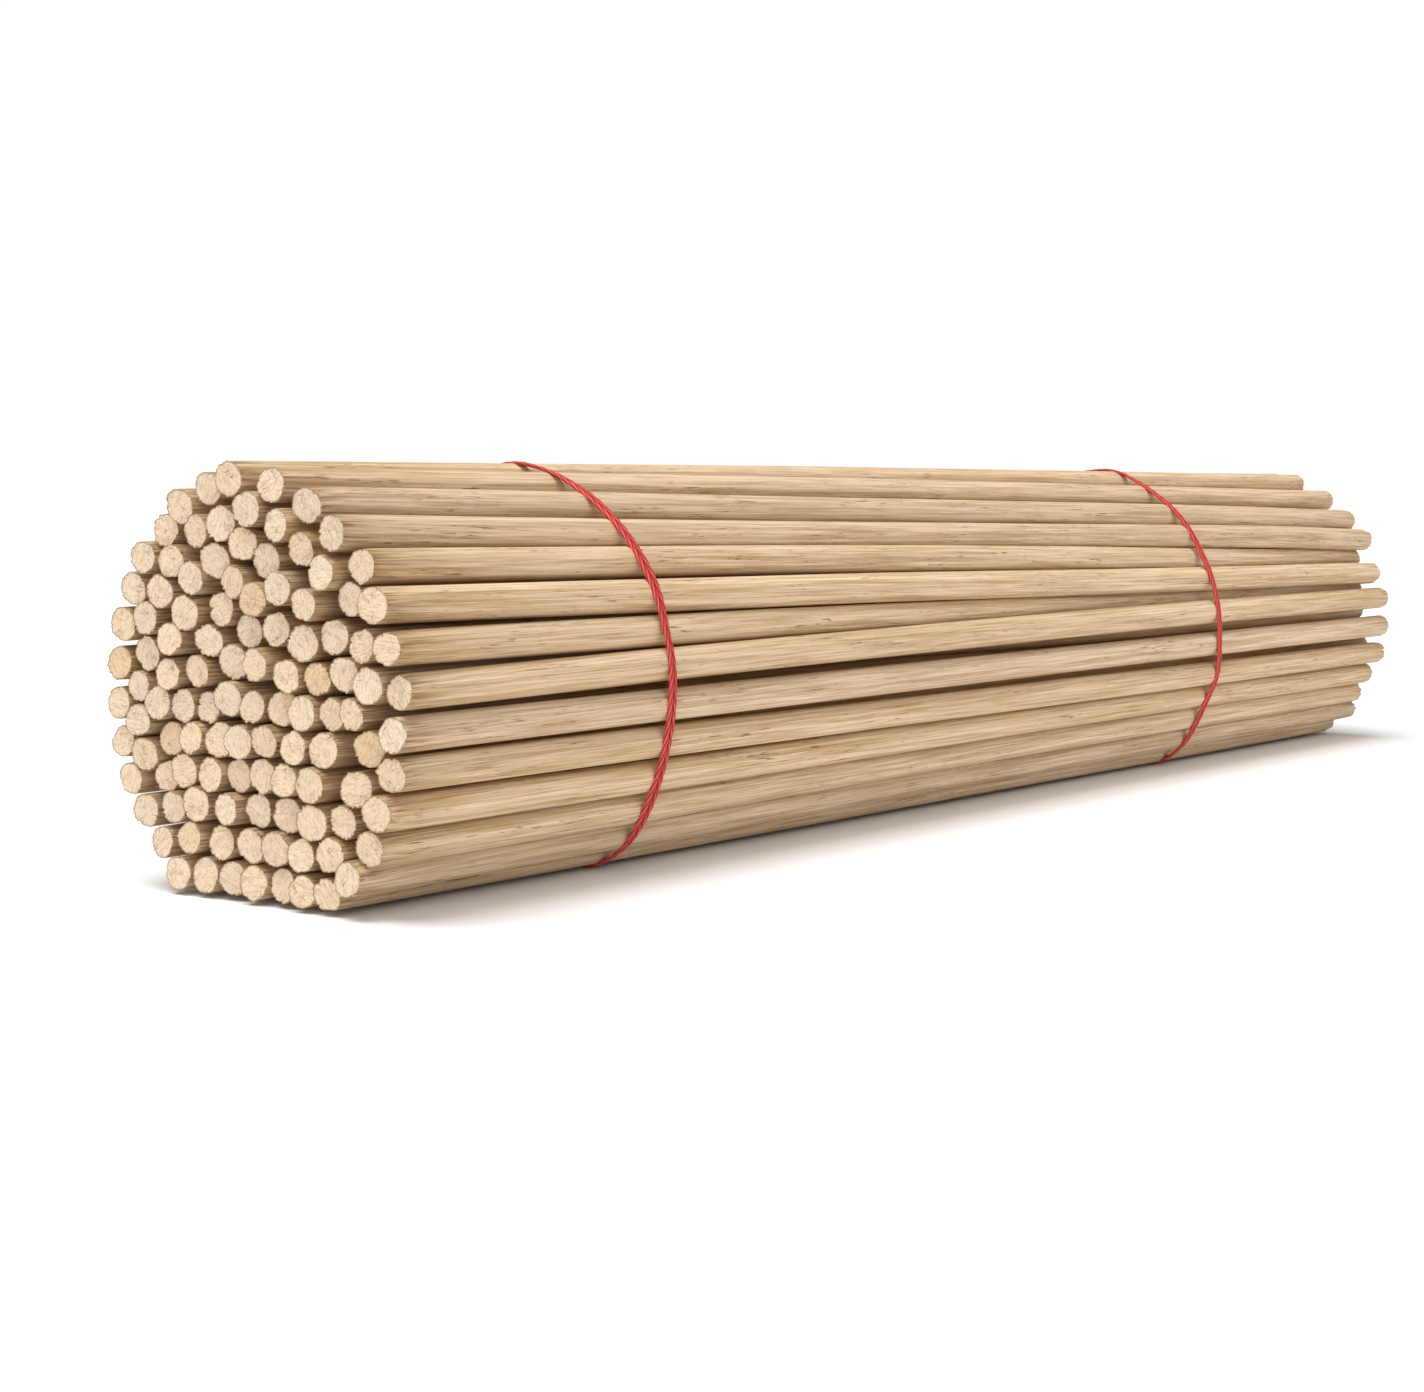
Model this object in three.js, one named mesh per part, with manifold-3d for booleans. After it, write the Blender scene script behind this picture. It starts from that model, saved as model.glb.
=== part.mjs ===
// A bundle of straight peeled sticks, lying on its side and held by two thin red bands.
// Millimetres. X runs along the sticks with the near ends at -X, Z is up, and the origin is on
// the surface under the middle of the bundle. The side that faces the viewer is -Y.

import * as THREE from 'three';
import Module from 'manifold-3d';

const wasm = await Module();
wasm.setup();

// Driving dimensions of the sticks
const bundleLength = 300;
const stickWidth = { thin: 4.25, thick: 4.75 };
const clearance = 0.17;
const setback = { near: 1.7, far: 4.6 };
const cutSlope = 0.12;
const stickSides = 9;
const innerSides = 7;
const leastTowardsBack = 1.4;

// Driving dimensions of the bands
const bandPlace = { near: -98, far: 69 };
const bandWidth = 1.7;
const bandThickness = 0.65;
const bandSlack = 0.05;
const bandBevel = 0.15;
const grooveDepth = 0.2;
const pointsRoundStick = 16;

// Where the middles of the near ends lie, as Y and Z, row by row from the surface up. They were
// read off the photograph.
const nearEnds = [
  [
    [-14.3, 2.2], [-9.5, 2.3], [-4.8, 2.8], [0, 2.8], [3.5, 4.3], [8.4, 3.7],
    [13.7, 3.8],
  ],
  [
    [-21.7, 9.5], [-18.4, 5.1], [-15.7, 7.4], [-9.8, 6.8], [-5.2, 7.6], [-1.0, 7.7],
    [6.0, 7.6], [11.6, 7.9], [17.0, 7.7],
  ],
  [
    [-23.7, 14.0], [-16.5, 12.1], [-11.2, 11.0], [-6.5, 12.3], [-1.2, 12.3], [4.0, 12.3],
    [10.3, 12.7], [15.6, 11.7], [20.3, 11.0],
  ],
  [
    [-19.6, 16.6], [-11.9, 16.2], [-7.1, 16.8], [-2.6, 16.5], [2.8, 16.7], [7.6, 16.6],
    [12.7, 16.8], [17.4, 15.5], [21.1, 18.1], [24.5, 14.9],
  ],
  [
    [-26.4, 19.3], [-21.9, 21.8], [-13.6, 20.9], [-8.9, 21.3], [-3.3, 21.3], [1.9, 21.2],
    [6.6, 21.1], [11.2, 21.3], [16.2, 20.7], [21.7, 22.7], [25.6, 20.0],
  ],
  [
    [-26.6, 23.8], [-19.1, 26.0], [-15.2, 25.3], [-10.4, 25.5], [-5.5, 25.9], [-0.3, 25.9],
    [4.7, 26.6], [8.4, 25.4], [13.1, 25.0], [18.0, 25.6], [26.5, 24.7],
  ],
  [
    [-26.7, 28.7], [-22.4, 29.5], [-17.5, 30.8], [-12.6, 30.0], [-7.7, 30.2], [-2.1, 31.4],
    [3.7, 31.3], [9.8, 30.0], [15.6, 29.2], [20.7, 32.4], [21.8, 27.7], [25.9, 30.4],
  ],
  [
    [-25.6, 34.6], [-21.8, 34.6], [-15.7, 35.5], [-10.6, 34.5], [-5.4, 36.1], [0.7, 35.6],
    [7.7, 34.1], [15.0, 34.1], [20.0, 36.5], [24.3, 36.0],
  ],
  [
    [-23.8, 39.5], [-18.6, 40.2], [-11.5, 39.4], [-1.6, 39.9], [5.3, 38.4], [11.7, 37.8],
    [17.3, 40.2], [22.3, 40.9],
  ],
  [
    [-21.0, 44.7], [-14.7, 43.5], [-6.7, 41.3], [-3.4, 44.8], [2.2, 41.9], [6.3, 44.5],
    [10.3, 42.2], [15.2, 44.0], [19.9, 44.8],
  ],
  [
    [-15.9, 48.0], [-10.2, 46.3], [0.8, 47.0], [9.8, 48.7], [17.4, 47.9],
  ],
  [
    [-11.1, 51.3], [-6.1, 49.3], [-0.6, 51.3], [5.0, 49.4], [13.2, 51.3],
  ],
  [
    [-4.4, 54.5], [3.1, 55.5], [8.1, 53.8],
  ],
];

// The outside is rounded off in a few passes, each of which draws its sticks part of the way. A
// stick that only shows through a gap between two others, of no more than the given degrees,
// isn't drawn.
const rounding = { passes: 2, share: 0.5, onTheWay: 0.1, widestGap: 7 };

// Two sticks of the viewer's side leave the outside on their way to the far ends, between the
// two given X, and the sticks above them slide down over them. The angles are measured from
// the top of the bundle towards the viewer.
const sinkingSticks = [
  { angle: 53, depth: 5, from: 20, to: 140 },
  { angle: 77, depth: 4.6, from: -110, to: 10 },
];
const slidePerSunkStick = 4.5;
const slideFades = { from: -20, to: -125 };

// The bands draw the sticks together sideways: the width of the bundle at a few X, as a share
// of its width at the near ends
const squeeze = [
  { x: -150, share: 1 },
  { x: -98, share: 0.965 },
  { x: 69, share: 0.89 },
  { x: 150, share: 0.9 },
];

// How the bundle is split: sticks of their own, and those that only show their ends
const ownSticks = 57;
const sliver = 4;

// The core that joins the inner sticks where they can't be seen. Each end bar reaches a little
// way into it.
const core = { shortfall: 12, sections: 11, margin: 0.6, least: 8, step: 0.1, bite: 2 };
const smallestDetail = 0.005;

// The sticks are followed from end to end in small steps, and bent only where they need it.
// At each place they are pushed apart in a number of rounds, against a fading pull.
const steps = 24;
const rounds = { first: 900, step: 240, smoothing: 40 };
const strongestPull = 0.1;
const smoothingPasses = 12;
const bendTolerance = 0.12;

// Measures that follow from these
const restingLevel = bandThickness + bandSlack;
const middle = new THREE.Vector2(0, 28);
const halfLength = bundleLength / 2;

// A repeatable source of random numbers from 0 to 1
function randomFrom(seed) {
  let state = seed;
  return () => {
    state = (state * 1664525 + 1013904223) % 4294967296;
    return state / 4294967296;
  };
}
const random = randomFrom(20261);
const spread = (size) => (random() * 2 - 1) * size;

// The angle of a place round the bundle, from the top towards the viewer, in degrees
function angleOf(place) {
  return THREE.MathUtils.radToDeg(Math.atan2(middle.x - place.x, place.y - middle.y));
}

// Moves sticks apart until none overlap, while a fading pull draws each to its wished place.
// A place is a Vector2 that holds Y and Z. The lowest row stays down on the bands.
function settle(start, wished, sticks, times) {
  const places = start.map((place) => place.clone());
  const push = new THREE.Vector2();
  for (let round = 0; round < times; round += 1) {
    const pull = Math.max(strongestPull * (1 - (2 * round) / times), 0);
    places.forEach((place, i) => {
      place.lerp(wished[i], pull);
    });
    for (let i = 0; i < places.length; i += 1) {
      for (let j = i + 1; j < places.length; j += 1) {
        const least = sticks[i].radius + sticks[j].radius + clearance;
        push.subVectors(places[j], places[i]);
        const distance = push.length();
        if (distance < least) {
          push.multiplyScalar((least - distance) / (2 * distance));
          places[i].sub(push);
          places[j].add(push);
        }
      }
    }
    places.forEach((place, i) => {
      const low = restingLevel + sticks[i].radius;
      place.y = sticks[i].row === 0 ? low : Math.max(place.y, low);
    });
  }
  return places;
}

// Those sticks of a set that show from outside, all the way round: a ray from the middle of
// the bundle leaves them last over more than the least number of degrees.
function outermost(sticks, least = sliver) {
  const seen = new Map();
  for (let degrees = 0; degrees < 360; degrees += 1) {
    const turn = THREE.MathUtils.degToRad(degrees);
    const ray = new THREE.Vector2(Math.cos(turn), Math.sin(turn));
    let last = null;
    let reach = 0;
    sticks.forEach((stick) => {
      const offset = stick.path[0].clone().sub(middle);
      const half = stick.radius ** 2 - offset.cross(ray) ** 2;
      if (half > 0 && offset.dot(ray) + Math.sqrt(half) > reach) {
        reach = offset.dot(ray) + Math.sqrt(half);
        last = stick;
      }
    });
    seen.set(last, (seen.get(last) ?? 0) + 1);
  }
  return sticks.filter((stick) => seen.get(stick) > least)
    .sort((a, b) => angleOf(a.path[0]) - angleOf(b.path[0]));
}

// Draws each stick of the outside towards the round line through the sticks beside it. The
// lowest row stays flat.
function roundOff(sticks, outside, places, share) {
  const ring = outside.filter((stick) => !stick.sinking);
  const before = ring.map((stick) => places[sticks.indexOf(stick)]);
  ring.forEach((stick, n) => {
    if (stick.row === 0) return;
    const [last, next] = [before.at(n - 1), before[(n + 1) % ring.length]];
    const outward = before[n].clone().sub(middle);
    const bulge = last.distanceToSquared(next) / (8 * outward.length());
    const round = last.clone().lerp(next, 0.5).add(outward.setLength(bulge));
    places[sticks.indexOf(stick)] = before[n].clone().lerp(round, share);
  });
}

// The width of the bundle at a given X, as a share of its width at the near ends
function widthAt(x) {
  const next = Math.max(squeeze.findIndex((place) => place.x >= x), 1);
  const [from, to] = [squeeze[next - 1], squeeze[next]];
  return THREE.MathUtils.mapLinear(x, from.x, to.x, from.share, to.share);
}

// Every stick with its row, its radius and its path: its place at each step along the bundle
function layOutSticks() {
  const sticks = nearEnds.flatMap((row, index) => row.map(([y, z]) => ({
    row: index,
    radius: THREE.MathUtils.lerp(stickWidth.thin, stickWidth.thick, random()) / 2,
    wish: new THREE.Vector2(y, z),
  })));
  let places = sticks.map((stick) => stick.wish);
  let outside = [];
  for (let pass = 0; pass <= rounding.passes; pass += 1) {
    places = settle(places, places, sticks, rounds.first);
    places.forEach((place, i) => {
      sticks[i].path = [place];
    });
    outside = outermost(sticks, rounding.widestGap);
    if (pass < rounding.passes) roundOff(sticks, outside, places, rounding.share);
  }
  sinkingSticks.forEach((sinking) => {
    const gap = (stick) => Math.abs(angleOf(stick.path[0]) - sinking.angle);
    outside.reduce((best, stick) => (gap(stick) < gap(best) ? stick : best)).sinking = sinking;
  });
  sticks.forEach((stick) => {
    const angle = angleOf(stick.path[0]);
    const sunkBelow = sinkingSticks.filter((sinking) => stick.sinking !== sinking
      && sinking.angle > angle).length;
    const fade = THREE.MathUtils.smoothstep(angle, slideFades.to, slideFades.from);
    stick.slide = outside.includes(stick) ? sunkBelow * slidePerSunkStick * fade : 0;
  });
  const xAt = (step) => (step / steps) * bundleLength - halfLength;
  const wishAt = (stick, step) => {
    const start = stick.path[0];
    const turn = (stick.slide / start.distanceTo(middle)) * (step / steps);
    const place = start.clone().rotateAround(middle, turn);
    const { sinking } = stick;
    if (sinking) {
      const sunk = THREE.MathUtils.smoothstep(xAt(step), sinking.from, sinking.to);
      place.add(middle.clone().sub(place).setLength(sinking.depth * sunk));
    }
    if (sinking || stick.slide) {
      place.x *= widthAt(xAt(step));
      return place;
    }
    const before = stick.path[step - 1].clone();
    before.x *= widthAt(xAt(step)) / widthAt(xAt(step - 1));
    return before;
  };
  for (let step = 1; step <= steps; step += 1) {
    const before = sticks.map((stick) => stick.path[step - 1]);
    const wished = sticks.map((stick) => wishAt(stick, step));
    roundOff(sticks, outside, wished, rounding.onTheWay);
    settle(before, wished, sticks, rounds.step).forEach((place, i) => {
      sticks[i].path[step] = place;
    });
  }
  for (let pass = 0; pass < smoothingPasses; pass += 1) {
    sticks.forEach((stick) => {
      stick.path = smooth(smooth(stick.path));
    });
    for (let step = 1; step < steps; step += 1) {
      const places = sticks.map((stick) => stick.path[step]);
      settle(places, places, sticks, rounds.smoothing).forEach((place, i) => {
        sticks[i].path[step] = place;
      });
    }
  }
  sticks.forEach((stick) => {
    stick.bends = straighten(stick.path);
  });
  return sticks;
}

// Each step of a path drawn halfway to the mean of the steps beside it
function smooth(path) {
  return path.map((place, step) => {
    if (step === 0 || step === steps) return place;
    return path[step - 1].clone().lerp(path[step + 1], 0.5).lerp(place, 0.5);
  });
}

// Keeps only those steps of a path between which a straight line stays true to it
function straighten(path, from = 0, to = steps) {
  let worst = bendTolerance;
  let bend = null;
  for (let step = from + 1; step < to; step += 1) {
    const straight = path[from].clone().lerp(path[to], (step - from) / (to - from));
    const off = straight.distanceTo(path[step]);
    if (off > worst) {
      worst = off;
      bend = step;
    }
  }
  if (bend === null) return [from, to];
  return [...straighten(path, from, bend).slice(0, -1), ...straighten(path, bend, to)];
}

// Where a stick's middle line is at a given X: straight from one bend to the next
function placeAt(stick, x) {
  const step = THREE.MathUtils.clamp((x + halfLength) / bundleLength, 0, 1) * steps;
  const next = Math.max(stick.bends.findIndex((bend) => bend >= step), 1);
  const [from, to] = [stick.bends[next - 1], stick.bends[next]];
  return stick.path[from].clone().lerp(stick.path[to], (step - from) / (to - from));
}

// Each end lies a little behind the foremost one, and is cut with a slight slope
function cutEnds(sticks) {
  ['near', 'far'].forEach((side) => {
    sticks.forEach((stick) => {
      const back = random() ** leastTowardsBack * setback[side];
      const slope = new THREE.Vector2(spread(cutSlope), spread(cutSlope));
      stick[side] = { back, slope };
    });
    const foremost = Math.min(...sticks.map((stick) => stick[side].back));
    sticks.forEach((stick) => {
      stick[side].back -= foremost;
    });
  });
}

// A closed solid through rings of points that follow each other along X
function skin(rings) {
  const count = rings[0].length;
  const index = [];
  for (let r = 0; r + 1 < rings.length; r += 1) {
    for (let j = 0; j < count; j += 1) {
      const a = r * count + j;
      const b = r * count + ((j + 1) % count);
      index.push(a, b, b + count, a, b + count, a + count);
    }
  }
  const last = (rings.length - 1) * count;
  for (let j = 1; j + 1 < count; j += 1) {
    index.push(0, j + 1, j, last, last + j, last + j + 1);
  }
  const geometry = new THREE.BufferGeometry().setFromPoints(rings.flat());
  geometry.setIndex(index);
  return geometry;
}

// The points round a stick at a given X, on a cut with the given slope
function ringAt(stick, x, sides, slope = new THREE.Vector2()) {
  const centre = placeAt(stick, x);
  return Array.from({ length: sides }, (_, j) => {
    const angle = stick.turn + (j * 2 * Math.PI) / sides;
    const spoke = new THREE.Vector2(Math.cos(angle), Math.sin(angle)).multiplyScalar(stick.radius);
    return new THREE.Vector3(x + slope.dot(spoke), centre.x + spoke.x, centre.y + spoke.y);
  });
}

// The points round a stick at one of its cut ends
function endRing(stick, side, sides) {
  const { back, slope } = stick[side];
  const reach = halfLength - back - slope.length() * stick.radius;
  return ringAt(stick, side === 'near' ? -reach : reach, sides, slope);
}

// One stick: a bar with flat, slightly sloping ends, bent where its path bends
function stickGeometry(stick) {
  const between = stick.bends.slice(1, -1).map(
    (step) => ringAt(stick, (step / steps) * bundleLength - halfLength, stickSides),
  );
  return skin([endRing(stick, 'near', stickSides), ...between, endRing(stick, 'far', stickSides)]);
}

// The outline of the core at a given X. It has a corner in each of the outermost inner sticks,
// which moves out from the middle of the bundle to the middle of its stick, or until an edge
// beside it comes near one of the sticks around the core.
function coreOutline(edgeSticks, around, x) {
  const centreOf = (stick) => {
    const centre = placeAt(stick, x);
    return new THREE.Vector3(x, centre.x, centre.y);
  };
  const axis = new THREE.Vector3(x, middle.x, middle.y);
  const ends = edgeSticks.map(centreOf);
  const spokes = ends.map((end) => end.clone().sub(axis).normalize());
  const corners = spokes.map((spoke) => axis.clone().addScaledVector(spoke, core.least));
  const closest = new THREE.Vector3();
  const isClear = (from, to) => {
    const edge = new THREE.Line3(from, to);
    return around.every((stick) => {
      const centre = centreOf(stick);
      edge.closestPointToPoint(centre, true, closest);
      return closest.distanceTo(centre) > stick.radius + core.margin;
    });
  };
  const growing = new Set(corners.keys());
  for (let reach = core.least; growing.size > 0; reach += core.step) {
    growing.forEach((n) => {
      const moved = axis.clone().addScaledVector(spokes[n], reach);
      const arrived = reach > ends[n].distanceTo(axis);
      const after = corners[(n + 1) % corners.length];
      if (!arrived && isClear(corners.at(n - 1), moved) && isClear(moved, after)) {
        corners[n] = moved;
      } else {
        growing.delete(n);
      }
    });
  }
  return corners;
}

// The sticks inside, of which only the ends show: each end is a short bar of its own, and they
// are joined where they can't be seen by a core that fills the middle of the bundle.
function innerGeometry(sticks, around) {
  const solidOf = (geometry) => new wasm.Manifold(new wasm.Mesh({
    numProp: 3,
    vertProperties: geometry.getAttribute('position').array,
    triVerts: new Uint32Array(geometry.getIndex().array),
  }));
  const reach = halfLength - core.shortfall;
  const edgeSticks = outermost(sticks);
  const filling = skin(Array.from({ length: core.sections }, (_, n) => {
    const x = THREE.MathUtils.lerp(-reach, reach, n / (core.sections - 1));
    return coreOutline(edgeSticks, around, x);
  }));
  const root = reach - core.bite;
  const ends = sticks.flatMap((stick) => [
    skin([endRing(stick, 'near', innerSides), ringAt(stick, -root, innerSides)]),
    skin([ringAt(stick, root, innerSides), endRing(stick, 'far', innerSides)]),
  ]);
  const joined = ends.reduce((whole, end) => whole.add(solidOf(end)), solidOf(filling));
  const { vertProperties, triVerts, numProp } = joined.simplify(smallestDetail).getMesh();
  const geometry = new THREE.BufferGeometry();
  const position = new THREE.InterleavedBuffer(vertProperties, numProp);
  geometry.setAttribute('position', new THREE.InterleavedBufferAttribute(position, 3, 0));
  geometry.setIndex(new THREE.BufferAttribute(triVerts, 1));
  return geometry;
}

// The shortest closed line round all sticks at a given X, as a taut band lies
function tautOutline(sticks, x) {
  const points = sticks.flatMap((stick) => {
    const centre = placeAt(stick, x);
    const reach = stick.radius + bandSlack;
    const circle = new THREE.EllipseCurve(centre.x, centre.y, reach, reach);
    return circle.getPoints(pointsRoundStick).slice(1);
  }).sort((a, b) => a.x - b.x || a.y - b.y);
  const half = (list) => list.reduce((chain, point) => {
    const turns = () => {
      const [a, b] = chain.slice(-2);
      return b.clone().sub(a).cross(point.clone().sub(b));
    };
    while (chain.length > 1 && turns() <= 1e-9) chain.pop();
    chain.push(point);
    return chain;
  }, []);
  return [...half(points).slice(0, -1), ...half([...points].reverse()).slice(0, -1)];
}

// A doubled band: its section has two strands side by side with a groove between them
function bandGeometry(sticks, x) {
  const side = bandWidth / 2;
  const section = [
    [bandBevel - side, 0],
    [-side, bandThickness / 2],
    [bandBevel - side, bandThickness],
    [-bandBevel, bandThickness],
    [0, bandThickness - grooveDepth],
    [bandBevel, bandThickness],
    [side - bandBevel, bandThickness],
    [side, bandThickness / 2],
    [side - bandBevel, 0],
  ];
  const outline = tautOutline(sticks, x);
  const count = outline.length;
  const edges = outline.map((point, i) => outline[(i + 1) % count].clone().sub(point).normalize());
  const points = outline.flatMap((point, i) => {
    const before = edges[(i + count - 1) % count];
    const outward = (edge) => new THREE.Vector2(edge.y, -edge.x);
    const mitre = outward(before).add(outward(edges[i])).normalize();
    const stretch = 1 / mitre.dot(outward(edges[i]));
    return section.map(([along, out]) => {
      const place = point.clone().addScaledVector(mitre, out * stretch);
      return new THREE.Vector3(x + along, place.x, place.y);
    });
  });
  const n = section.length;
  const index = outline.flatMap((_, i) => section.flatMap((__, j) => {
    const a = i * n + j;
    const b = i * n + ((j + 1) % n);
    const c = ((i + 1) % count) * n + ((j + 1) % n);
    const d = ((i + 1) % count) * n + j;
    return [a, c, b, a, d, c];
  }));
  const geometry = new THREE.BufferGeometry().setFromPoints(points);
  geometry.setIndex(index);
  return geometry;
}

// Peeled wood, a little different from stick to stick, and red elastic
function woodMaterial() {
  const colour = new THREE.Color(0xcdae86).offsetHSL(spread(0.008), spread(0.03), spread(0.035));
  return new THREE.MeshStandardMaterial({ color: colour, roughness: 0.72, metalness: 0 });
}

function bandMaterial() {
  return new THREE.MeshStandardMaterial({ color: 0xc8403f, roughness: 0.55, metalness: 0 });
}

// A solid with a name of its own
function named(name, geometry, material) {
  const mesh = new THREE.Mesh(geometry, material);
  mesh.name = name;
  return mesh;
}

const sticks = layOutSticks();
cutEnds(sticks);
sticks.forEach((stick) => {
  stick.turn = random() * Math.PI;
});
const outside = outermost(sticks);
const rest = sticks.filter((stick) => !outside.includes(stick));
const secondLayer = outermost(rest)
  .sort((a, b) => b.path[0].distanceTo(middle) - a.path[0].distanceTo(middle))
  .slice(0, ownSticks - outside.length)
  .sort((a, b) => angleOf(a.path[0]) - angleOf(b.path[0]));
const inner = rest.filter((stick) => !secondLayer.includes(stick));

const bundle = new THREE.Group();
const number = (n) => String(n + 1).padStart(2, '0');
outside.forEach((stick, n) => {
  bundle.add(named(`outer_stick_${number(n)}`, stickGeometry(stick), woodMaterial()));
});
secondLayer.forEach((stick, n) => {
  bundle.add(named(`second_stick_${number(n)}`, stickGeometry(stick), woodMaterial()));
});
bundle.add(named('inner_sticks', innerGeometry(inner, [...outside, ...secondLayer]), woodMaterial()));
bundle.add(named('near_band', bandGeometry(sticks, bandPlace.near), bandMaterial()));
bundle.add(named('far_band', bandGeometry(sticks, bandPlace.far), bandMaterial()));

// The bundle is moved sideways so that its middle is over the origin
const box = new THREE.Box3().setFromObject(bundle);
bundle.position.set(0, -(box.min.y + box.max.y) / 2, 0);

export default bundle;
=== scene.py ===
# %% [markdown]
# # A bundle of peeled sticks
# About a hundred straight, peeled wooden sticks lie side by side and are held by two thin red
# elastic bands. Each stick runs true along its whole length, but its ends are roughly cut, and
# that rough end is what the eye goes to first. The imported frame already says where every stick
# and band lies, so this lesson reads their middle lines from it and works out a finer surface
# for each piece, in the same place and at the same size.

import math

import bpy
import numpy as np
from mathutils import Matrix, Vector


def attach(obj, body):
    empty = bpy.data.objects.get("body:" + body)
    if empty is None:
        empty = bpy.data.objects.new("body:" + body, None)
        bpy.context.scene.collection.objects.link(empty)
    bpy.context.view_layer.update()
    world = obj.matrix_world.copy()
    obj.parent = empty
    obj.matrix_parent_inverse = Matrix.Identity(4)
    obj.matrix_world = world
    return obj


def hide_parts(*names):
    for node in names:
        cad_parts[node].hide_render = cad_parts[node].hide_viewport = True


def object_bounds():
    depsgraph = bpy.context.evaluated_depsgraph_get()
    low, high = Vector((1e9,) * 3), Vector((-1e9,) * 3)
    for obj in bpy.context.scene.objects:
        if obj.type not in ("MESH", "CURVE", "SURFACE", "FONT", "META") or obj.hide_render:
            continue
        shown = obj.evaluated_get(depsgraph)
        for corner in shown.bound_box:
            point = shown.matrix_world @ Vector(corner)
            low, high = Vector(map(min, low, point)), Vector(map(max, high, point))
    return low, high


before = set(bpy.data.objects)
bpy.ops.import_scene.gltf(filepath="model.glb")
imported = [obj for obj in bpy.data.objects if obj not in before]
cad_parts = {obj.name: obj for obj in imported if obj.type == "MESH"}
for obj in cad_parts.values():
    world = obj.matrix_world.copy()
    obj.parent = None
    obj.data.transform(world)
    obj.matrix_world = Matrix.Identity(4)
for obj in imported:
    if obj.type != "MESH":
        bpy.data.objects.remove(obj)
cad_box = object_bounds()
MM = 0.001
print("nodes in the frame:", len(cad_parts))

# %% [markdown]
# ## Camera, light and floor
# The picture is taken from low down and close to the near ends, so the camera stands a few
# centimetres above the surface and looks along the bundle at a slant. One broad soft lamp from
# above gives each stick its light top and dark underside. A softer one from the front left
# opens up the cut ends, and a faint warm world fills the shadows. To the camera the world is
# white, and the floor is plain white.

# %% Camera
CAMERA_PLACE = (-0.3525, -0.2390, 0.0535)
CAMERA_TURN = (85.14, 0.0, -51.35)
LENS = 60.67

camera_data = bpy.data.cameras.new("camera")
camera_data.lens = LENS
camera_data.sensor_width = 36.0
camera_data.clip_start = 0.01
camera_data.clip_end = 50.0
camera = bpy.data.objects.new("camera", camera_data)
camera.location = CAMERA_PLACE
camera.rotation_euler = [math.radians(angle) for angle in CAMERA_TURN]
bpy.context.scene.collection.objects.link(camera)
bpy.context.scene.camera = camera
print("camera height in mm:", round(camera.location.z / MM, 1), "lens in mm:", camera_data.lens)

# %% Light
LAMPS = {
    "lamp above": {"strength": 2.95, "softness": 42, "turn": (-7, -12, 0)},
    "lamp at the front left": {"strength": 1.68, "softness": 75, "turn": (44, -52, 0)},
}
FILL = 0.18
FILL_COLOUR = (1.0, 0.94, 0.86, 1.0)
WHITE = (1.0, 1.0, 1.0, 1.0)

for name, lamp in LAMPS.items():
    sun_data = bpy.data.lights.new(name, "SUN")
    sun_data.energy = lamp["strength"]
    sun_data.angle = math.radians(lamp["softness"])
    sun = bpy.data.objects.new(name, sun_data)
    sun.rotation_euler = [math.radians(angle) for angle in lamp["turn"]]
    bpy.context.scene.collection.objects.link(sun)

world = bpy.data.worlds.new("studio")
world.use_nodes = True
bpy.context.scene.world = world
nodes, links = world.node_tree.nodes, world.node_tree.links
fill = nodes["Background"]
fill.inputs["Color"].default_value = FILL_COLOUR
fill.inputs["Strength"].default_value = FILL
backdrop = nodes.new("ShaderNodeBackground")
backdrop.inputs["Color"].default_value = WHITE
path = nodes.new("ShaderNodeLightPath")
choice = nodes.new("ShaderNodeMixShader")
links.new(path.outputs["Is Camera Ray"], choice.inputs[0])
links.new(fill.outputs[0], choice.inputs[1])
links.new(backdrop.outputs[0], choice.inputs[2])
links.new(choice.outputs[0], nodes["World Output"].inputs["Surface"])
bpy.context.scene.view_settings.view_transform = "Standard"
print("lamps:", len(LAMPS), "strength of the world's light:", FILL)

# %% Floor
FLOOR_HALF = 6.0
FLOOR_COLOUR = (0.9, 0.9, 0.9, 1.0)
FLOOR_ROUGHNESS = 0.9

floor_mesh = bpy.data.meshes.new("floor")
corners = [(-FLOOR_HALF, -FLOOR_HALF, 0), (FLOOR_HALF, -FLOOR_HALF, 0),
           (FLOOR_HALF, FLOOR_HALF, 0), (-FLOOR_HALF, FLOOR_HALF, 0)]
floor_mesh.from_pydata(corners, [], [(0, 1, 2, 3)])
floor = bpy.data.objects.new("floor", floor_mesh)
bpy.context.scene.collection.objects.link(floor)
white = bpy.data.materials.new("white floor")
white.use_nodes = True
floor_shader = white.node_tree.nodes["Principled BSDF"]
floor_shader.inputs["Base Color"].default_value = FLOOR_COLOUR
floor_shader.inputs["Roughness"].default_value = FLOOR_ROUGHNESS
floor_shader.inputs["Specular IOR Level"].default_value = 0.0
floor_mesh.materials.append(white)
print("floor, metres from side to side:", 2 * FLOOR_HALF)

# %% [markdown]
# ## Reading the sticks from the frame
# A stick in the frame is a plain bar of nine sides. It has one ring of corners at each end and
# one at each place where the stick bends a little, so its middle line is found by sorting the
# corners along X and taking the mean of each ring. The slope of the two outer rings is the
# slope of the cut ends. In the picture the near cuts face the viewer a little more than the
# bundle's own end does, so they all lean that way by a small slope.

# %% Corners and rings
RING_GAP = 3 * MM
NEAR_LEAN = np.array([-0.12, 0.0])
ROUND_TO = 7


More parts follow.
